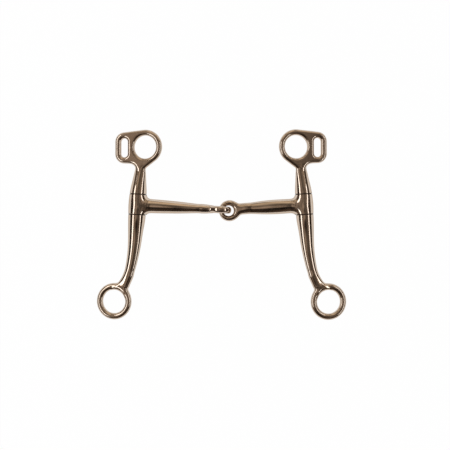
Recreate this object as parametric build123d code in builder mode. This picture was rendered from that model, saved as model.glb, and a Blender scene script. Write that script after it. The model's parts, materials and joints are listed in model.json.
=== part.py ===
"""Tom Thumb snaffle bit: a jointed mouthpiece between two swivelling shanks, in millimetres.

It lies flat: +X runs across the horse's mouth, +Y towards the bridle rings and +Z up, and the origin is
midway between the two barrels. Each half has its own plane, whose x points outward and whose z runs up
the swivel axis of its barrel.
"""
import os
from math import asin, cos, degrees, radians, sin

from build123d import *

os.makedirs("parts", exist_ok=True)

# Mouthpiece
MOUTH = 127.0  # between the barrels, the size a bit is sold by: 5 inches
LEAN_LEFT = 3.0  # degrees that each half leans in, because the joint lies a little low
LEAN_RIGHT = 3.2
BARREL_LENGTH = 17.0
BARREL_TOP_R = 7.2
BARREL_BELLY_R = 7.7
BARREL_FOOT_R = 7.4
CANNON_DROP = 0.9  # the cannon leaves its barrel this much below the middle
# The cannon's sections, each a width in the eye's plane and a width square to it
ROOT_SHORT = 0.5  # what the cannon's root, on the barrel's axis, leaves free at the barrel's foot
ROOT_ACROSS = 13.8
CANNON_FLARE = (13.0, 12.9)
FLARE_REACH = 3.0  # from the barrel's wall
CANNON_SWELL = (12.2, 11.9)
SWELL_REACH = 7.0
# (share of the way to the eye, and the two widths)
CANNON_TAPER = ((0.36, 12.3, 11.0), (0.5, 11.8, 10.1), (0.62, 10.6, 8.9), (0.74, 9.4, 7.8))
NECK = (9.2, 7.2)
NECK_TO_EYE = 12.5  # the cannon's thinnest section, from the eye's centre
NECK_END_TO_EYE = 8.0  # where the cannon runs out inside the eye's shoulders
NECK_END = (6.0, 4.4)

# The two interlocked eyes
JOINT_OFFSET = 3.8  # the joint lies this far to the right of the middle
EYE_HOLE_R = 4.4
EYE_LIMB = 4.5  # beside the hole; it is thinner by the shift at the end
EYE_SHIFT = 0.6  # the hole is this much nearer the eye's end
EYE_ROUND = 1.9
EYE_SLACK = 2.8  # end play of one eye in the other
EYE_PLAY = 1.4  # side play, on each side
EYE_SAG = 1.1  # the right eye hangs this much below its cannon
EYE_SEAT = 0.6  # what is left of the side play where one eye leans on the other
TANG_TO_EYE = 14.5  # the eye's shoulders reach this far back along the cannon
TANG_WIDTH = 6.4

# Swivel
SPINDLE_R = 4.0
SPINDLE_GRIP = 10.0  # length pressed into each half of the cheek
SPINDLE_CHAMFER = 0.5
RUNNING = 0.05  # radial clearance of the barrel on its spindle
SEAM = 0.3  # end play on each side of the barrel
RIM_ROUND = 0.3
BLIND_RELIEF = 0.6

# Cheeks
PLATE_THICK = 5.4
PLATE_ROUND = 2.1
BRIDLE_R = 9.85
BRIDLE_LIMB = 5.0
BRIDLE_OUT = -4.3
BRIDLE_UP = 49.1
SLOT_WIDTH = 6.2
SLOT_HEIGHT = 16.2
SLOT_LIMB = 5.1
SLOT_CORNER = 8.0
SLOT_OUT = 14.3
SLOT_UP = 47.7
SLOT_LEAN = -3.0
NOTCH_FILLET = 3.5
THROAT_UP = 30.0
THROAT_INNER = 5.4
THROAT_OUTER = 3.7
# (height above the barrel's middle, outward shift, width, depth) of the neck over the barrel
UPPER_SECTIONS = (
    (13.0, -0.2, 13.7, 13.2),
    (18.0, -0.4, 12.4, 11.0),
    (24.0, -0.7, 10.9, 8.4),
    (30.0, -0.9, 9.8, 6.2),
)
UPPER_END = (37.0, -1.0, 7.6, 3.6)
# (share of the way down to the rein ring, share of its outward shift, width, depth) of the shank
SHANK_SECTIONS = (
    (0.155, 0.005, 14.6, 14.2),
    (0.246, 0.025, 13.3, 12.0),
    (0.41, 0.055, 11.3, 9.6),
    (0.573, 0.14, 9.7, 7.8),
    (0.728, 0.297, 8.5, 6.4),
)
SHANK_END = (0.86, 0.51, 6.0, 3.8)
REIN_R = 10.2
REIN_LIMB = 5.3
REIN_OUT = 16.5
REIN_DOWN = 83.8
WEB_IN = 12.1  # the ring's flat runs into the shank as far as this from its centre
WEB_UP = 23.8
WEB_WIDTH = 7.0
WEB_OUTER_FILLET = 8.0
WEB_INNER_FILLET = 5.0

# What follows from them
EYE_OUTER_R = EYE_HOLE_R + EYE_LIMB
EYE_THICK = 2 * (EYE_HOLE_R - EYE_PLAY)
EYE_SPREAD = EYE_HOLE_R - EYE_SLACK / 2  # from the middle of the joint to each eye's centre
SHOULDER = BARREL_LENGTH / 2 + SEAM
AXIS_OUT = MOUTH / 2 + BARREL_FOOT_R
REIN_EDGE_OUT = REIN_OUT + REIN_R + REIN_LIMB - PLATE_THICK / 2
# Degrees that a cheek turns down until its rein ring meets the surface that the upright eye lies on
SWING = degrees(asin((EYE_OUTER_R - PLATE_THICK / 2) / REIN_EDGE_OUT))


def half_plane(out, lean, swing=0.0):
    """A half's plane, turned down by swing about its swivel axis: out is -1 on the left, 1 on the right."""
    tilt = radians(lean)
    drop = radians(swing)
    x_dir = (out * cos(tilt) * cos(drop), sin(tilt) * cos(drop), -sin(drop))
    return Plane((out * AXIS_OUT, 0, 0), x_dir=x_dir, z_dir=(-out * sin(tilt), cos(tilt), 0))


def side_of(half):
    """The plane through a half's swivel axis: x outward, y up the axis."""
    return Plane(half.origin, x_dir=half.x_dir, z_dir=-half.y_dir)


def level(half, height, out=0.0):
    """The plane square to the swivel axis, at a height above the barrel's middle."""
    return Plane(half.from_local_coords((out, 0, height)), x_dir=half.x_dir, z_dir=half.z_dir)


def write(builder, name):
    """Labels a finished piece and writes its STEP file."""
    builder.part.label = name
    export_step(builder.part, f"parts/{name}.step")


def spindle(half, name):
    """The hinge pin through the barrel, pressed into both halves of the cheek."""
    with BuildPart(half) as pin:
        Cylinder(SPINDLE_R, 2 * (SHOULDER + SPINDLE_GRIP))
        chamfer(pin.edges().filter_by(GeomType.CIRCLE), SPINDLE_CHAMFER)
    write(pin, name)


def upper_cheek(half, name):
    """The bridle ring and the curb slot, on a neck that stands on the barrel."""
    side = side_of(half)
    bridle = (BRIDLE_OUT, BRIDLE_UP)
    with BuildSketch() as throat:
        with Locations(bridle):
            Circle(BRIDLE_R + BRIDLE_LIMB)
        with Locations(((THROAT_OUTER - THROAT_INNER) / 2, THROAT_UP + 1)):
            Rectangle(THROAT_OUTER + THROAT_INNER, 2)
        make_hull()
    with BuildPart() as cheek:
        with BuildSketch(side) as head:
            with Locations(bridle):
                Circle(BRIDLE_R + BRIDLE_LIMB)
            with Locations(Location((SLOT_OUT, SLOT_UP), SLOT_LEAN)):
                RectangleRounded(SLOT_WIDTH + 2 * SLOT_LIMB, SLOT_HEIGHT + 2 * SLOT_LIMB, SLOT_CORNER)
            make_hull()
            add(throat.sketch)
            notch = (THROAT_OUTER + NOTCH_FILLET / 2, BRIDLE_UP - BRIDLE_R - BRIDLE_LIMB)
            fillet(head.vertices().sort_by_distance(notch)[0], NOTCH_FILLET)
            with Locations(bridle):
                Circle(BRIDLE_R, mode=Mode.SUBTRACT)
            with Locations(Location((SLOT_OUT, SLOT_UP), 90 + SLOT_LEAN)):
                SlotOverall(SLOT_HEIGHT, SLOT_WIDTH, mode=Mode.SUBTRACT)
        extrude(amount=PLATE_THICK / 2, both=True)
        fillet(cheek.faces().filter_by(side).edges(), PLATE_ROUND)
        with BuildSketch(level(half, SHOULDER)):
            Circle(BARREL_TOP_R)
        for height, out, width, depth in (*UPPER_SECTIONS, UPPER_END):
            with BuildSketch(level(half, height, out)):
                Ellipse(width / 2, depth / 2)
        loft()
        shoulder = cheek.faces().sort_by(Axis(half.origin, half.z_dir))[0]
        fillet(shoulder.edges(), RIM_ROUND)
        with BuildSketch(level(half, SHOULDER)):
            Circle(SPINDLE_R)
        extrude(amount=SPINDLE_GRIP + BLIND_RELIEF, mode=Mode.SUBTRACT)
    write(cheek, name)


def lower_shank(half, name):
    """The shank that sweeps out under the barrel to the rein ring."""
    side = side_of(half)
    rein = Vector(REIN_OUT, -REIN_DOWN)
    web = rein + Vector(-WEB_IN, WEB_UP)
    across = (rein - web).rotate(Axis.Z, 90).normalized() * WEB_WIDTH / 2
    with BuildPart() as shank:
        with BuildSketch(side) as foot:
            with BuildLine():
                Polyline(web + across, web - across, rein - across, rein + across, close=True)
            make_face()
            with Locations(rein):
                Circle(REIN_R + REIN_LIMB)
            inner, outer = foot.vertices().sort_by_distance(rein)[:2].sort_by(Axis.X)
            fillet(inner, WEB_INNER_FILLET)
            fillet(outer, WEB_OUTER_FILLET)
            with Locations(rein):
                Circle(REIN_R, mode=Mode.SUBTRACT)
        extrude(amount=PLATE_THICK / 2, both=True)
        fillet(shank.faces().filter_by(side).edges(), PLATE_ROUND)
        with BuildSketch(level(half, -SHOULDER)):
            Circle(BARREL_FOOT_R)
        for down, out, width, depth in (*SHANK_SECTIONS, SHANK_END):
            with BuildSketch(level(half, -down * REIN_DOWN, out * REIN_OUT)):
                Ellipse(width / 2, depth / 2)
        loft()
        shoulder = shank.faces().sort_by(Axis(half.origin, half.z_dir))[-1]
        fillet(shoulder.edges(), RIM_ROUND)
        with BuildSketch(level(half, -SHOULDER)):
            Circle(SPINDLE_R)
        extrude(amount=-SPINDLE_GRIP - BLIND_RELIEF, mode=Mode.SUBTRACT)
    write(shank, name)


def cannon(half, eye, upright, sag, name):
    """A mouthpiece half: barrel, tapered bar and eye; upright stands the eye square to the cheek.

    The eye's centre hangs lower than the bar's line by sag.
    """
    reach, _, drop = half.to_local_coords(eye)
    reach = -reach
    square = half.z_dir if upright else -half.y_dir
    eye_side = Plane(eye, x_dir=half.x_dir, z_dir=square)
    root = BARREL_LENGTH - 2 * (CANNON_DROP + ROOT_SHORT)
    sections = [(0, (root, ROOT_ACROSS)), (BARREL_BELLY_R + FLARE_REACH, CANNON_FLARE)]
    sections += [(BARREL_BELLY_R + SWELL_REACH, CANNON_SWELL)]
    sections += [(share * reach, size) for share, *size in CANNON_TAPER]
    sections += [(reach - NECK_TO_EYE, NECK), (reach - NECK_END_TO_EYE, NECK_END)]
    with BuildPart() as bar:
        with BuildSketch(side_of(half)):
            with BuildLine():
                top = (BARREL_TOP_R, BARREL_LENGTH / 2)
                foot = (BARREL_FOOT_R, -BARREL_LENGTH / 2)
                Polyline(top, (0, BARREL_LENGTH / 2), (0, -BARREL_LENGTH / 2), foot)
                ThreePointArc(foot, (BARREL_BELLY_R, 0), top)
            make_face()
        revolve(axis=Axis(half.origin, half.z_dir))
        for distance, (in_eye, across) in sections:
            height = -CANNON_DROP + (drop + sag + CANNON_DROP) * distance / reach
            centre = half.from_local_coords((-distance, 0, height))
            with BuildSketch(Plane(centre, x_dir=half.y_dir, z_dir=half.x_dir)):
                if upright:
                    Ellipse(in_eye / 2, across / 2)
                else:
                    Ellipse(across / 2, in_eye / 2)
        loft()
        with BuildSketch(level(half, -BARREL_LENGTH / 2)):
            Rectangle(2 * AXIS_OUT + 4 * BARREL_BELLY_R, 4 * BARREL_BELLY_R)
        extrude(amount=BARREL_LENGTH, mode=Mode.INTERSECT)
    with BuildPart() as ring:
        with BuildSketch(eye_side):
            with Locations((EYE_SHIFT, 0)):
                Circle(EYE_OUTER_R)
            with Locations((TANG_TO_EYE, sag)):
                Circle(TANG_WIDTH / 2)
            make_hull()
            Circle(EYE_HOLE_R, mode=Mode.SUBTRACT)
        extrude(amount=EYE_THICK / 2, both=True)
        fillet(ring.faces().filter_by(eye_side).edges(), EYE_ROUND)
    with BuildPart() as whole:
        add(bar.part)
        add(ring.part)
        with BuildSketch(level(half, -BARREL_LENGTH / 2)):
            Circle(SPINDLE_R + RUNNING)
        extrude(amount=BARREL_LENGTH, mode=Mode.SUBTRACT)
    write(whole, name)


left = half_plane(-1, LEAN_LEFT)
right = half_plane(1, LEAN_RIGHT)
left_reach = (AXIS_OUT + JOINT_OFFSET - EYE_SPREAD) / cos(radians(LEAN_LEFT))
left_eye = left.from_local_coords((-left_reach, 0, -CANNON_DROP))
right_eye = Vector(JOINT_OFFSET + EYE_SPREAD, left_eye.Y - EYE_PLAY + EYE_SEAT, 0)

cannon(left, left_eye, True, 0.0, "left_cannon")
cannon(right, right_eye, False, EYE_SAG, "right_cannon")
for out, lean, name in ((-1, LEAN_LEFT, "left"), (1, LEAN_RIGHT, "right")):
    cheek_plane = half_plane(out, lean, SWING)
    spindle(cheek_plane, f"{name}_spindle")
    upper_cheek(cheek_plane, f"{name}_upper_cheek")
    lower_shank(cheek_plane, f"{name}_lower_shank")
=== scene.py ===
"""Looks of the jointed-mouth shank snaffle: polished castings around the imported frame.

Each visible piece is one smooth surface, the zero level of a distance in millimetres. A cheek or a
cannon is measured in its half's own axes: u outward from the swivel axis, w up that axis, and t square
to both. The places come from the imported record's joints and mounts.
"""

import json
from math import cos, radians, sin

import bmesh
import bpy
import numpy as np
from mathutils import Matrix, Vector


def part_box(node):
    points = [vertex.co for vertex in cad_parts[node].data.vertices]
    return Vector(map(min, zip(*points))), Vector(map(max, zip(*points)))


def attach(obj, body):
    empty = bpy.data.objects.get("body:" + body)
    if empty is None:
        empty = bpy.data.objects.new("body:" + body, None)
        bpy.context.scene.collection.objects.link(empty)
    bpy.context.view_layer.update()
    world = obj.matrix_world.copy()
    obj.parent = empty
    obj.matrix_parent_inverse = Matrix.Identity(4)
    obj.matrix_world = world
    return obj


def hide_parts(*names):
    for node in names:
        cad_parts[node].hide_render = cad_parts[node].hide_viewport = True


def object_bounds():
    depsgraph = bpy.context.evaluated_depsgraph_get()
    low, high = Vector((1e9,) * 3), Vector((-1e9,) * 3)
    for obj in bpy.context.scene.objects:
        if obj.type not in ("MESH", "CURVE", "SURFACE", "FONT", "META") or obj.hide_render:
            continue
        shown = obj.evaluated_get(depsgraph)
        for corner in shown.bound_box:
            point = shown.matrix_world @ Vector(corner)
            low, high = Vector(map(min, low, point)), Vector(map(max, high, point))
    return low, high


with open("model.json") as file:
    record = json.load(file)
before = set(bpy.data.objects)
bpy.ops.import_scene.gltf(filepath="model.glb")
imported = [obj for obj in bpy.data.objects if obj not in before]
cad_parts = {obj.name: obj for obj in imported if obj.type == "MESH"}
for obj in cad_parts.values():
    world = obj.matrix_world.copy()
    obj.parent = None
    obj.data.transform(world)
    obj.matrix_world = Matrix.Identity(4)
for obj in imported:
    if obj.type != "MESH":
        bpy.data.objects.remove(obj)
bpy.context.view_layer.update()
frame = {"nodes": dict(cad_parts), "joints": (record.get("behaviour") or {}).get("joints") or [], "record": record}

MM = 0.001
STEP = 0.5  # spacing of the sampling grid
SHORTEST = 0.005  # edges shorter than this are closed up
MERGE = 0.03  # points of a cut nearer to each other than this become one
ON_SURFACE = 0.02  # a point this near the zero level is shaded with the surface's slope
SHARP = 50  # degrees between faces from which their edge is sharp
EVENINGS = 6  # rounds that even out a surface's points
EVEN_PULL = 0.6  # share of the way that a point moves to its neighbours' middle
# How far a surface is sampled past what it holds
CUT_SPARE = 1.5
LIMB_SPARE = 1.0
BRIDLE_SPARE = 6.0
EYE_SPARE = 10.0
SWIVEL_SPAN = 9.0  # from the swivel axis
CHEEK_DEPTH = 8.0  # each way from the middle
CANNON_DEPTH = 9.5

# Swivel
BARREL_LENGTH = 17.0
BARREL_R = ((-8.5, 7.4), (0.0, 7.7), (8.5, 7.2))  # (height, radius)
SHOULDER = 8.8  # where a cheek begins, over or under the barrel's middle
RIM = 0.35
GROOVE = 0.5  # how far the seam is open, from the rim inwards
BOSS = 0.27  # nearly fills the gap between a cheek and the barrel, so no light shows through
BARREL_CAP = 1.0  # the barrel goes on this far past its ends, until they are cut
BARREL_REACH = 14.0  # a cut square to the swivel goes no further out than this
SPINDLE_R = 4.0
BORE_R = 4.05
PIN_DEPTH = 10.6

# Upper cheek
PLATE_HALF = 2.7
PLATE_ROUND = 2.45
BRIDLE_LIMB = 4.85
SLOT_HALF = (3.1, 5.0)  # half-width of the slot, and half the run between its round ends
SLOT_FRAME_R = 8.2
SLOT_FRAME_RUN = 5.1
THROAT = (-0.85, 33.0, 4.4)  # (out, up, radius) of the throat's narrow end
NOTCH_BLEND = 6.0
NOTCH_OUT = 3.0  # the notch's rounding is full this far out
NOTCH_FADE = (10.0, 6.0)  # it fades between these distances below the bridle ring's centre
LEAST_BLEND = 0.01
SLOT_TURN = -3  # degrees that the slot is turned about the cheek's own depth
NECK_BLEND = 2.0
# (height, outward shift, half-width, half-depth)
NECK = (
    (7.6, 0.0, 7.25, 7.25),
    (13.0, -0.2, 6.85, 6.6),
    (18.0, -0.4, 6.2, 5.5),
    (24.0, -0.7, 5.4, 4.1),
    (29.0, -0.9, 4.7, 2.9),
    (34.0, -1.0, 3.4, 1.8),
)

# Lower shank
REIN_LIMB = 5.3
SHANK_BLEND = 4.0
WEB = (-11.6, 22.5, 3.6)  # from the ring's centre: out, up, and radius, where the web to the ring begins
WEB_RING_R = 6.5
WEB_BLEND = 4.0
WEB_CLEAR = 1.0  # from the ring's hole
WEB_FLAT = 0.15  # half of the flat left on the web's edge
# (down and out, as shares of the way to the rein ring, half-width, half-depth)
SHANK = (
    (0.092, 0.0, 7.4, 7.4),
    (0.155, 0.005, 7.25, 7.1),
    (0.246, 0.025, 6.65, 6.0),
    (0.41, 0.055, 5.65, 4.8),
    (0.573, 0.14, 4.85, 3.9),
    (0.728, 0.297, 4.2, 3.2),
    (0.84, 0.47, 3.4, 2.4),
)

# Cannon: (share of the way from barrel to eye, half-width in the eye's plane, half-width square to it)
CANNON_DROP = 0.9
CANNON = (
    (0.0, 5.6, 5.6),
    (0.2, 6.05, 5.9),
    (0.36, 6.15, 5.5),
    (0.5, 5.9, 5.05),
    (0.62, 5.3, 4.45),
    (0.74, 4.7, 3.9),
    (0.82, 4.5, 3.6),
    (0.89, 3.4, 2.6),
)
ROOT_BLEND = 7.0
EYE_BLEND = 3.0
EYE_HOLE_R = 4.4
EYE_LIMB = 4.5
EYE_SHIFT = 0.6
EYE_HALF = 3.0
EYE_ROUND = 2.7
EYE_TANG = (5.5, 16.0, 3.2)  # where it starts and ends, and its radius
TANG_BLEND = 8.0
TANG_SAG = 0.3  # share of the sag where the tang starts
EYE_SAG = 1.1
EYE_OFFSET = 0.8  # the upright eye's centre lies this much nearer the bridle rings


# ---------------------------------------------------------------- distances
def spline(knots, column, s):
    """A natural cubic through one column of the knots, at s, level beyond both ends."""
    x = np.array([k[0] for k in knots])
    y = np.array([k[column] for k in knots])
    h, rise = np.diff(x), np.diff(y)
    n = len(x)
    matrix, right = np.zeros((n, n)), np.zeros(n)
    matrix[0, :2], right[0] = (2, 1), 3 * rise[0] / h[0]
    matrix[-1, -2:], right[-1] = (1, 2), 3 * rise[-1] / h[-1]
    for i in range(1, n - 1):
        matrix[i, i - 1 : i + 2] = 1 / h[i - 1], 2 / h[i - 1] + 2 / h[i], 1 / h[i]
        right[i] = 3 * (rise[i - 1] / h[i - 1] ** 2 + rise[i] / h[i] ** 2)
    slope = np.linalg.solve(matrix, right)
    s = np.clip(s, x[0], x[-1])
    i = np.clip(np.searchsorted(x, s) - 1, 0, n - 2)
    t = (s - x[i]) / h[i]
    a, b = slope[i] * h[i] - rise[i], rise[i] - slope[i + 1] * h[i]
    return y[i] + t * rise[i] + t * (1 - t) * (a * (1 - t) + b * t)


def blend(a, b, size):
    """The union of two distances, rounded where they meet."""
    h = np.maximum(size - np.abs(a - b), 0) / size
    return np.minimum(a, b) - h**3 * size / 6


def ellipse(x, y, a, b):
    """About the distance to an ellipse of half-widths a and b."""
    tiny = 1e-6
    scaled = np.hypot(x / a, y / b) + tiny
    return scaled * (scaled - 1) / (np.hypot(x / a**2, y / b**2) + tiny)


def swept(s, x, y, knots):
    """A tapered bar along s, whose knots are (s, shift of x, half-width, half-depth)."""
    across = ellipse(x - spline(knots, 1, s), y, spline(knots, 2, s), spline(knots, 3, s))
    beyond = np.maximum(np.maximum(knots[0][0] - s, s - knots[-1][0]), 0)
    return np.where(beyond > 0, np.hypot(np.maximum(across, 0), beyond), across)


def capsule(x, y, start, end, r_start, r_end):
    """The outline that hugs two circles of different radii."""
    dx, dy = end[0] - start[0], end[1] - start[1]
    run = np.hypot(dx, dy)
    px, py = x - start[0], y - start[1]
    along = (px * dx + py * dy) / run
    off = np.abs(px * dy - py * dx) / run
    slant = (r_start - r_end) / run
    level = np.sqrt(1 - slant**2)
    k = along * level - off * slant
    near = np.hypot(off, along) - r_start
    far = np.hypot(off, along - run) - r_end
    return np.where(k < 0, near, np.where(k > level * run, far, off * level + along * slant - r_start))


def plate(outline, t, half, rounding):
    """An outline with thickness and rounded edges."""
    x, y = outline + rounding, np.abs(t) - half + rounding
    return np.minimum(np.maximum(x, y), 0) + np.hypot(np.maximum(x, 0), np.maximum(y, 0)) - rounding


def step_between(x, low, high):
    """Rises smoothly from 0 at low to 1 at high."""
    s = np.clip((x - low) / (high - low), 0, 1)
    return s * s * (3 - 2 * s)


def upper_cheek(bridle, bridle_r, slot, slot_turn):
    """Distance to the bridle ring and curb slot on their neck."""
    outer = bridle_r + BRIDLE_LIMB
    along = np.array((-sin(slot_turn), cos(slot_turn)))
    frame_top, frame_foot = slot + along * SLOT_FRAME_RUN, slot - along * SLOT_FRAME_RUN

    def distance(p):
        u, w, t = p.T
        head = capsule(u, w, bridle, frame_top, outer, SLOT_FRAME_R)
        head = np.minimum(head, capsule(u, w, bridle, frame_foot, outer, SLOT_FRAME_R))
        head = np.minimum(head, capsule(u, w, frame_foot, frame_top, SLOT_FRAME_R, SLOT_FRAME_R))
        throat = capsule(u, w, bridle, THROAT[:2], outer, THROAT[2])
        fade = step_between(w, bridle[1] - NOTCH_FADE[0], bridle[1] - NOTCH_FADE[1])
        at_notch = step_between(u, 0, NOTCH_OUT) * (1 - fade)
        outline = blend(head, throat, LEAST_BLEND + NOTCH_BLEND * at_notch)
        ring_hole = bridle_r - np.hypot(u - bridle[0], w - bridle[1])
        top, foot = slot + along * SLOT_HALF[1], slot - along * SLOT_HALF[1]
        slot_hole = -capsule(u, w, foot, top, SLOT_HALF[0], SLOT_HALF[0])
        outline = np.maximum(outline, np.maximum(ring_hole, slot_hole))
        neck = swept(w, u, t, NECK)
        return blend(plate(outline, t, PLATE_HALF, PLATE_ROUND), neck, NECK_BLEND)

    return distance


def lower_shank(rein, rein_r):
    """Distance to the shank and its rein ring."""
    knots = [(down * rein[1], out * rein[0], a, b) for down, out, a, b in SHANK][::-1]

    def distance(p):
        u, w, t = p.T
        off = np.hypot(u - rein[0], w - rein[1])
        ring = np.hypot(off - rein_r - REIN_LIMB / 2, t) - REIN_LIMB / 2
        start = (rein[0] + WEB[0], rein[1] + WEB[1])
        web = capsule(u, w, start, rein, WEB[2], WEB_RING_R)
        web = np.maximum(web, rein_r + WEB_CLEAR - off)
        web = plate(web, t, REIN_LIMB / 2, REIN_LIMB / 2 - WEB_FLAT)
        return blend(blend(ring, web, WEB_BLEND), swept(w, u, t, knots), SHANK_BLEND)

    return distance


def cannon(eye, upright, sag):
    """Distance to a mouthpiece half; eye is its centre as (u, w), and upright stands it square to w."""
    reach = -eye[0]
    start, end = -CANNON_DROP, eye[1] + sag

    def distance(p):
        u, w, t = p.T
        side = np.hypot(u, t) - spline(BARREL_R, 1, w)
        barrel = np.maximum(side, np.abs(w) - BARREL_LENGTH / 2 - BARREL_CAP)
        middle = start + (end - start) * -u / reach
        knots = [(share * reach, 0, a, b) for share, a, b in CANNON]
        in_eye, across = (t, w - middle) if upright else (w - middle, t)
        body = blend(barrel, swept(-u, in_eye, across, knots), ROOT_BLEND)
        x, (y, z) = u - eye[0], (t, w - eye[1]) if upright else (w - eye[1], t)
        tang_start, tang_end, tang_r = EYE_TANG
        tang = capsule(x, y, (tang_start, sag * TANG_SAG), (tang_end, sag), tang_r, tang_r)
        outline = blend(np.hypot(x - EYE_SHIFT, y) - EYE_HOLE_R - EYE_LIMB, tang, TANG_BLEND)
        outline = np.maximum(outline, EYE_HOLE_R - np.hypot(x, y))
        return blend(body, plate(outline, z, EYE_HALF, EYE_ROUND), EYE_BLEND)

    return distance


# ---------------------------------------------------------------- surfaces
def gradient(distance, p):
    """The distance's slope at each point."""
    e = 1e-3
    shifts = np.eye(3) * e
    return np.stack([(distance(p + s) - distance(p - s)) / (2 * e) for s in shifts], 1)


def onto(distance, p, rounds):
    """Moves points onto the surface."""
    for _ in range(rounds):
        g = gradient(distance, p)
        p = p - distance(p)[:, None] * g / np.maximum((g**2).sum(1), 0.05)[:, None]
    return p


def surface(distance, low, high):
    """Vertices and quads of a distance's zero level: one vertex a cell, evened out along the surface."""
    low, high = np.array(low, float) - 2 * STEP, np.array(high, float) + 2 * STEP
    axes = [np.arange(a, b + STEP, STEP) for a, b in zip(low, high)]
    grid = np.stack(np.meshgrid(*axes, indexing="ij"), -1)
    d = distance(grid.reshape(-1, 3)).reshape(grid.shape[:3])
    inside = d < 0
    total, count = np.zeros(grid.shape), np.zeros(d.shape)
    rings = []
    for k in range(3):
        one = np.eye(3, dtype=int)[k]
        keep = [slice(None, -1) if i == k else slice(None) for i in range(3)]
        start = np.argwhere(inside[tuple(keep)] != np.roll(inside, -1, k)[tuple(keep)])
        end = start + one
        d0, d1 = d[tuple(start.T)], d[tuple(end.T)]
        crossing = grid[tuple(start.T)] + (d0 / (d0 - d1) * STEP)[:, None] * one
        ring = []
        for a, b in ((0, 0), (-1, 0), (-1, -1), (0, -1)):
            cell = start.copy()
            cell[:, (k + 1) % 3] += a
            cell[:, (k + 2) % 3] += b
            np.add.at(total, tuple(cell.T), crossing)
            np.add.at(count, tuple(cell.T), 1)
            ring.append(cell)
        rings.append((np.stack(ring, 1), d0 < 0))
    used = count > 0
    index = np.full(count.shape, -1)
    index[used] = np.arange(used.sum())
    p = total[used] / count[used][:, None]
    quads = []
    for ring, out in rings:
        q = index[tuple(np.moveaxis(ring, -1, 0))]
        quads.append(np.where(out[:, None], q, q[:, ::-1]))
    quads = np.concatenate(quads)
    sides = np.concatenate([quads[:, [i, (i + 1) % 4]] for i in range(4)])
    edges = np.unique(np.sort(sides, 1), axis=0)
    p = onto(distance, p, 3)
    for _ in range(EVENINGS):
        total, count = np.zeros(p.shape), np.zeros(len(p))
        for a, b in (edges.T, edges.T[::-1]):
            np.add.at(total, a, p[b])
            np.add.at(count, a, 1)
        p = onto(distance, p + EVEN_PULL * (total / count[:, None] - p), 1)
    return onto(distance, p, 4), quads


def build(vertices, quads):
    """A bmesh of a surface."""
    bm = bmesh.new()
    made = [bm.verts.new(v) for v in vertices]
    for q in quads:
        bm.faces.new([made[i] for i in q])
    return bm


def face_off(bm, height, way, hole_r, boss=0.0):
    """Cuts a piece square, with a rounded rim, a boss and a hole, and returns the hole's edge."""
    cut_at = height - way * RIM
    centres = [(f, f.calc_center_median()) for f in bm.faces]
    near = {f for f, c in centres if np.hypot(c.x, c.z) < BARREL_REACH}
    edges = {e for f in near for e in f.edges}
    verts = {v for f in near for v in f.verts}
    cut = bmesh.ops.bisect_plane(
        bm, geom=[*verts, *edges, *near], dist=1e-5,
        plane_co=(0, cut_at, 0), plane_no=(0, way, 0), clear_outer=True)
    verts = [v for v in cut["geom_cut"] if isinstance(v, bmesh.types.BMVert)]
    bmesh.ops.remove_doubles(bm, verts=verts, dist=MERGE)
    edges = [e for e in bm.edges if e.is_boundary and all(abs(v.co.y - cut_at) < 1e-3 for v in e.verts)]
    outside = set(bm.faces)
    levels = [(RIM * (1 - cos(radians(a))), RIM * (sin(radians(a)) - 1)) for a in (22.5, 45, 67.5, 90)]
    if boss:
        levels += [(RIM + GROOVE, 0.0), (RIM + GROOVE, boss)]
    done = 0.0
    for inset, rise in levels:
        edges = grown(bm, edges)
        for v in {v for e in edges for v in e.verts}:
            radius = np.hypot(v.co.x, v.co.z)
            shrink = (radius - inset + done) / radius
            v.co = v.co.x * shrink, height + way * rise, v.co.z * shrink
        done = inset
    edges = grown(bm, edges)
    for v in {v for e in edges for v in e.verts}:
        shrink = hole_r / np.hypot(v.co.x, v.co.z)
        v.co.x *= shrink
        v.co.z *= shrink
    # the seam's rim and groove faces take the second material, a dark brown painted shade that stands in for the
    # shadow in the gap between cheek and barrel
    for f in set(bm.faces) - outside:
        f.material_index = 1
    return edges


def grown(bm, edges):
    """Extrudes an open edge and returns the new one."""
    made = bmesh.ops.extrude_edge_only(bm, edges=edges)["geom"]
    return [e for e in made if isinstance(e, bmesh.types.BMEdge) and len(e.link_faces) == 1 and e.is_boundary
            and all(v in made for v in e.verts)]


def blind_hole(bm, edges, way):
    """Sinks a hole from an open edge and closes its end."""
    edges = grown(bm, edges)
    for v in {v for e in edges for v in e.verts}:
        v.co.y -= way * PIN_DEPTH
    bmesh.ops.edgeloop_fill(bm, edges=edges)


def one_piece(bm):
    """Deletes slivers that the cuts left apart from the piece."""
    left, largest = set(bm.verts), set()
    while left:
        group = queue = [left.pop()]
        for v in queue:
            apart = [e.other_vert(v) for e in v.link_edges if e.other_vert(v) in left]
            left.difference_update(apart)
            queue += apart
        largest = max(largest, set(group), key=len)
    bmesh.ops.delete(bm, geom=[v for v in bm.verts if v not in largest], context="VERTS")


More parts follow.
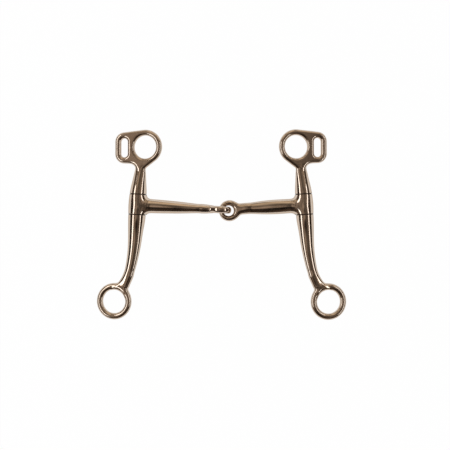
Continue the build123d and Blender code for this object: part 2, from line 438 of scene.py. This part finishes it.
def finish(bm, distance, name, axes, body, material, node):
    """Places a piece in the frame, shades it with its surface's own slope, and lets it stand for its node."""
    one_piece(bm)
    bmesh.ops.dissolve_degenerate(bm, dist=SHORTEST, edges=bm.edges[:])
    origin, *directions = axes
    places = np.array([v.co for v in bm.verts], float)
    on_surface = np.abs(distance(places)) < ON_SURFACE
    slopes = gradient(distance, places) @ np.array(directions)
    slopes /= np.linalg.norm(slopes, axis=1)[:, None]
    for v in bm.verts:
        v.co = origin + sum((d * c for d, c in zip(directions, v.co)), Vector()) * MM
    bmesh.ops.recalc_face_normals(bm, faces=bm.faces[:])
    for f in bm.faces:
        f.smooth = True
    mesh = bpy.data.meshes.new(name)
    bm.to_mesh(mesh)
    bm.free()
    mesh.set_sharp_from_angle(angle=radians(SHARP))
    normals = np.zeros((len(mesh.loops), 3))
    for f in mesh.polygons:
        if on_surface[list(f.vertices)].all():
            normals[list(f.loop_indices)] = slopes[list(f.vertices)]
    mesh.normals_split_custom_set(normals.tolist())
    mesh.materials.append(material)
    # second material: painted shade on the seam's rim and groove
    mesh.materials.append(seam_grime)
    piece = bpy.data.objects.new(name, mesh)
    bpy.context.scene.collection.objects.link(piece)
    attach(piece, body)
    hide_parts(node)
    return piece


# ---------------------------------------------------------------- places
joints = {j["name"]: j for j in frame["joints"]}
mounts = {m["name"]: m for m in frame["record"]["mounts"]}


def local(axes, point):
    """A point of the frame in a half's own axes, in millimetres."""
    origin, *directions = axes
    return np.array([(Vector(point) - origin).dot(d) / MM for d in directions])


def cheek_axes(side):
    """Origin and u, w, t of a cheek, from its swivel and its rein ring."""
    swivel = joints[f"{side}_swivel"]
    origin, w = Vector(swivel["pos_m"]), Vector(swivel["axis"]).normalized()
    ring = Vector(mounts[f"{side}_rein_ring"]["pos_m"]) - origin
    u = (ring - w * ring.dot(w)).normalized()
    return origin, u, w, Vector(mounts[f"{side}_rein_ring"]["axis"])


def cannon_axes(side):
    """Origin and u, w, t of a cannon, from its swivel."""
    swivel = joints[f"{side}_swivel"]
    origin, w = Vector(swivel["pos_m"]), Vector(swivel["axis"]).normalized()
    t = Vector((0, 0, 1))
    u = w.cross(t).normalized() * (1 if side == "right" else -1)
    return origin, u, w, t


def eye_centre(side):
    """Centre of an eye: the flat one from the fold's pin, the upright one from its node's end."""
    pivot = Vector(joints["centre_fold"]["pos_m"])
    end_limb = EYE_LIMB - EYE_SHIFT
    if side == "right":
        return pivot + Vector((EYE_HOLE_R + end_limb / 2, 0, 0)) * MM
    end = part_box("left_cannon")[1].x
    return Vector((end - (EYE_HOLE_R + end_limb) * MM, pivot.y + EYE_OFFSET * MM, pivot.z))


# ---------------------------------------------------------------- materials
def polished(name, colour, dark, roughness, metallic=1.0, specular=0.5):
    """Polished plated steel: slow ripples from the buffing wheel, hairline scratches and faint smears."""
    material = bpy.data.materials.new(name)
    material.use_nodes = True
    nodes, links = material.node_tree.nodes, material.node_tree.links
    shader = nodes["Principled BSDF"]
    shader.inputs["Metallic"].default_value = metallic
    shader.inputs["Specular IOR Level"].default_value = specular
    shader.inputs["Specular Tint"].default_value = (0.62, 0.52, 0.44, 1)
    place = nodes.new("ShaderNodeTexCoord").outputs["Object"]

    def noise(scale, detail, stretch=(1, 1, 1)):
        mapping = nodes.new("ShaderNodeMapping")
        mapping.inputs["Scale"].default_value = stretch
        links.new(place, mapping.inputs["Vector"])
        node = nodes.new("ShaderNodeTexNoise")
        node.inputs["Scale"].default_value = scale
        node.inputs["Detail"].default_value = detail
        links.new(mapping.outputs[0], node.inputs["Vector"])
        return node.outputs["Fac"]

    def ramp(value, low, high, start, end):
        node = nodes.new("ShaderNodeMapRange")
        for key, number in (("From Min", low), ("From Max", high), ("To Min", start), ("To Max", end)):
            node.inputs[key].default_value = number
        links.new(value, node.inputs["Value"])
        return node.outputs[0]

    tint = nodes.new("ShaderNodeMix")
    tint.data_type = "RGBA"
    tint.inputs["A"].default_value = (*colour, 1)
    tint.inputs["B"].default_value = (*dark, 1)
    links.new(ramp(noise(60, 5), 0.42, 0.72, 0, 0.6), tint.inputs["Factor"])
    links.new(tint.outputs["Result"], shader.inputs["Base Color"])
    smear = ramp(noise(150, 6, (1, 2.5, 1)), 0.4, 0.75, roughness, roughness + 0.09)
    links.new(smear, shader.inputs["Roughness"])
    ripple = nodes.new("ShaderNodeBump")
    ripple.inputs["Strength"].default_value = 0.25
    ripple.inputs["Distance"].default_value = 0.00022
    links.new(noise(70, 2), ripple.inputs["Height"])
    scratch = nodes.new("ShaderNodeBump")
    scratch.inputs["Strength"].default_value = 0.05
    scratch.inputs["Distance"].default_value = 0.0001
    links.new(noise(900, 3, (1, 0.08, 1)), scratch.inputs["Height"])
    links.new(ripple.outputs[0], scratch.inputs["Normal"])
    links.new(scratch.outputs[0], shader.inputs["Normal"])
    return material


NICKEL = (0.63, 0.53, 0.44)
NICKEL_DARK = (0.54, 0.44, 0.34)
cheek_steel = polished("cheek_nickel", NICKEL, NICKEL_DARK, 0.07)
mouth_steel = polished("mouth_nickel", NICKEL, NICKEL_DARK, 0.09)
# painted shade: the spindle's steel is made near black so that the seam gap it shows through looks shaded
pin_steel = polished("pin_steel", (0.16, 0.13, 0.1), (0.08, 0.06, 0.05), 0.4)
# painted shade: near-black matt brown for the seam's rim and groove, in place of the shadow in the gap between
# cheek and barrel
seam_grime = polished(
    "seam_grime", (0.05, 0.032, 0.022), (0.025, 0.017, 0.012), 0.8, metallic=0.0, specular=0.05)

# ---------------------------------------------------------------- pieces
for side in ("left", "right"):
    axes = cheek_axes(side)
    bridle, slot, rein = (
        local(axes, mounts[f"{side}_{name}"]["pos_m"])[:2]
        for name in ("bridle_ring", "curb_slot", "rein_ring"))
    bridle_r, rein_r = (mounts[f"{side}_{name}"]["dims"]["r_mm"] for name in ("bridle_ring", "rein_ring"))
    head = upper_cheek(bridle, bridle_r, slot, radians(SLOT_TURN))
    low = (bridle[0] - bridle_r - BRIDLE_SPARE, SHOULDER - CUT_SPARE, -CHEEK_DEPTH)
    high = (slot[0] + SLOT_FRAME_R + LIMB_SPARE, bridle[1] + bridle_r + BRIDLE_SPARE, CHEEK_DEPTH)
    bm = build(*surface(head, low, high))
    blind_hole(bm, face_off(bm, SHOULDER, -1, SPINDLE_R, BOSS), -1)
    piece = finish(
        bm, head, f"{side}_upper_casting", axes, f"{side}_cheek", cheek_steel, f"{side}_upper_cheek")

    foot = lower_shank(rein, rein_r)
    reach = rein_r + REIN_LIMB + LIMB_SPARE
    low = (-SWIVEL_SPAN, rein[1] - reach, -CHEEK_DEPTH)
    high = (rein[0] + reach, -SHOULDER + CUT_SPARE, CHEEK_DEPTH)
    bm = build(*surface(foot, low, high))
    blind_hole(bm, face_off(bm, -SHOULDER, 1, SPINDLE_R, BOSS), 1)
    piece = finish(
        bm, foot, f"{side}_shank_casting", axes, f"{side}_cheek", cheek_steel, f"{side}_lower_shank")

    axes = cannon_axes(side)
    upright = side == "left"
    eye = local(axes, eye_centre(side))[:2]
    bar = cannon(eye, upright, 0.0 if upright else EYE_SAG)
    foot_of_box = min(eye[1] - EYE_SPARE, -BARREL_LENGTH / 2 - CUT_SPARE)
    low = (eye[0] - EYE_SPARE, foot_of_box, -CANNON_DEPTH)
    high = (SWIVEL_SPAN, BARREL_LENGTH / 2 + CUT_SPARE, CANNON_DEPTH)
    bm = build(*surface(bar, low, high))
    loops = [face_off(bm, way * BARREL_LENGTH / 2, way, BORE_R) for way in (1, -1)]
    bmesh.ops.bridge_loops(bm, edges=loops[0] + loops[1])
    piece = finish(bm, bar, f"{side}_mouth_bar", axes, f"{side}_cannon", mouth_steel, f"{side}_cannon")

    # the spindle, seen only through the seam gap, takes the darkened steel that paints the gap's shade
    spindle = frame["nodes"][f"{side}_spindle"]
    spindle.data.materials.clear()
    spindle.data.materials.append(pin_steel)

# ---------------------------------------------------------------- floor, light and camera
FLOOR = 4.0  # half-width
FLOOR_SPARE = 0.01  # under the lowest that a hanging half reaches
FLOOR_GLOW = 0.93  # share of the floor's white that doesn't depend on the lamps
low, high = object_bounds()
centre = (low + high) / 2
white = bpy.data.materials.new("studio_white")
white.use_nodes = True
nodes, links = white.node_tree.nodes, white.node_tree.links
diffuse = nodes["Principled BSDF"]
diffuse.inputs["Base Color"].default_value = (0.97, 0.97, 0.97, 1)
diffuse.inputs["Roughness"].default_value = 0.9
glow = nodes.new("ShaderNodeEmission")
glow.inputs["Strength"].default_value = 1.0
path = nodes.new("ShaderNodeLightPath")
seen_by = path.outputs["Is Camera Ray"]
for ray in ("Is Glossy Ray", "Is Transmission Ray"):
    either = nodes.new("ShaderNodeMath")
    either.operation = "MAXIMUM"
    links.new(seen_by, either.inputs[0])
    links.new(path.outputs[ray], either.inputs[1])
    seen_by = either.outputs[0]
share = nodes.new("ShaderNodeMath")
share.operation = "MULTIPLY"
share.inputs[1].default_value = FLOOR_GLOW
links.new(seen_by, share.inputs[0])
mix = nodes.new("ShaderNodeMixShader")
links.new(share.outputs[0], mix.inputs["Fac"])
links.new(diffuse.outputs[0], mix.inputs[1])
links.new(glow.outputs[0], mix.inputs[2])
links.new(mix.outputs[0], nodes["Material Output"].inputs["Surface"])
mesh = bpy.data.meshes.new("floor")
depth = max(-low.x, high.x) + FLOOR_SPARE  # either half of the mouthpiece can hang down on the fold
corners = [(x * FLOOR, y * FLOOR, -depth) for x, y in ((-1, -1), (1, -1), (1, 1), (-1, 1))]
mesh.from_pydata(corners, [], [(0, 1, 2, 3)])
mesh.materials.append(white)
floor = bpy.data.objects.new("floor", mesh)
bpy.context.scene.collection.objects.link(floor)


def softbox(name, place, size, power):
    """A rectangular lamp that faces the object."""
    light = bpy.data.lights.new(name, "AREA")
    light.shape = "RECTANGLE"
    light.size, light.size_y = size
    light.energy = power
    lamp = bpy.data.objects.new(name, light)
    lamp.location = place
    lamp.rotation_euler = (centre - lamp.location).to_track_quat("-Z", "Y").to_euler()
    bpy.context.scene.collection.objects.link(lamp)


softbox("left_box", Vector((-0.97, 0.0, 0.86)), (1.3, 0.31), 3.2)
softbox("right_box", Vector((1.0, 0.0, 0.78)), (1.3, 0.2), 2.0)

world = bpy.data.worlds.new("studio")
bpy.context.scene.world = world
world.use_nodes = True
nodes, links = world.node_tree.nodes, world.node_tree.links
background = nodes["Background"]
direction = nodes.new("ShaderNodeTexCoord").outputs["Generated"]
apart = nodes.new("ShaderNodeSeparateXYZ")
links.new(direction, apart.inputs[0])
room = nodes.new("ShaderNodeValToRGB")
links.new(apart.outputs["Z"], room.inputs["Fac"])
stops = ((0.0, (0.30, 0.24, 0.19)), (0.06, (0.09, 0.06, 0.045)), (0.5, (0.06, 0.04, 0.028)),
         (0.7, (0.2, 0.15, 0.115)), (1.0, (0.33, 0.26, 0.205)))
ramp = room.color_ramp
while len(ramp.elements) < len(stops):
    ramp.elements.new(0.5)
for element, (place, colour) in zip(ramp.elements, stops):
    element.position = place
    element.color = (*colour, 1)
toward = nodes.new("ShaderNodeVectorMath")
toward.operation = "DOT_PRODUCT"
toward.inputs[1].default_value = Vector((0, -0.62, 0.78)).normalized()
links.new(direction, toward.inputs[0])
shade = nodes.new("ShaderNodeMapRange")
shade.interpolation_type = "SMOOTHSTEP"
for key, number in (("From Min", 0.84), ("From Max", 0.95), ("To Min", 0.0), ("To Max", 0.93)):
    shade.inputs[key].default_value = number
links.new(toward.outputs["Value"], shade.inputs["Value"])
darker = nodes.new("ShaderNodeMix")
darker.data_type = "RGBA"
darker.inputs["B"].default_value = (0.035, 0.022, 0.015, 1)
links.new(shade.outputs[0], darker.inputs["Factor"])
links.new(room.outputs["Color"], darker.inputs["A"])
lit = nodes.new("ShaderNodeMapRange")
lit.interpolation_type = "SMOOTHSTEP"
for key, number in (("From Min", 0.35), ("From Max", 0.75), ("To Min", 0.0), ("To Max", 0.85)):
    lit.inputs[key].default_value = number
links.new(apart.outputs["Y"], lit.inputs["Value"])
wall = nodes.new("ShaderNodeMix")
wall.data_type = "RGBA"
wall.inputs["B"].default_value = (0.62, 0.50, 0.37, 1)
links.new(lit.outputs[0], wall.inputs["Factor"])
links.new(darker.outputs["Result"], wall.inputs["A"])
stretch = nodes.new("ShaderNodeMapping")
stretch.inputs["Scale"].default_value = (3.4, 0.9, 1.0)
links.new(direction, stretch.inputs["Vector"])
patches = nodes.new("ShaderNodeTexNoise")
patches.inputs["Scale"].default_value = 1.6
patches.inputs["Detail"].default_value = 2.0
links.new(stretch.outputs[0], patches.inputs["Vector"])
uneven = nodes.new("ShaderNodeMapRange")
for key, number in (("From Min", 0.38), ("From Max", 0.62), ("To Min", 0.3), ("To Max", 1.6)):
    uneven.inputs[key].default_value = number
links.new(patches.outputs["Fac"], uneven.inputs["Value"])
surroundings = nodes.new("ShaderNodeVectorMath")
surroundings.operation = "SCALE"
links.new(wall.outputs["Result"], surroundings.inputs[0])
links.new(uneven.outputs[0], surroundings.inputs["Scale"])
path = nodes.new("ShaderNodeLightPath")
seen = nodes.new("ShaderNodeMix")
seen.data_type = "RGBA"
seen.inputs["A"].default_value = (0.8, 0.8, 0.8, 1)
links.new(path.outputs["Is Glossy Ray"], seen.inputs["Factor"])
links.new(surroundings.outputs["Vector"], seen.inputs["B"])
camera_white = nodes.new("ShaderNodeMix")
camera_white.data_type = "RGBA"
camera_white.inputs["B"].default_value = (1, 1, 1, 1)
links.new(path.outputs["Is Camera Ray"], camera_white.inputs["Factor"])
links.new(seen.outputs["Result"], camera_white.inputs["A"])
links.new(camera_white.outputs["Result"], background.inputs["Color"])

FIELD = 0.3825  # width of what the camera sees at the mouthpiece
DISTANCE = 0.9
SENSOR = 36.0
camera_data = bpy.data.cameras.new("camera")
camera_data.sensor_width = SENSOR
camera_data.lens = SENSOR * DISTANCE / FIELD
camera = bpy.data.objects.new("camera", camera_data)
aim = Vector((0.0037, -0.0176, 0))
camera.location = aim + Vector((0.03, 0, DISTANCE))
back = (camera.location - aim).normalized()
right = Vector((0, 1, 0)).cross(back).normalized()
camera.rotation_euler = Matrix((right, back.cross(right), back)).transposed().to_euler()
bpy.context.scene.collection.objects.link(camera)
bpy.context.scene.camera = camera
bpy.context.scene.view_settings.view_transform = "Standard"
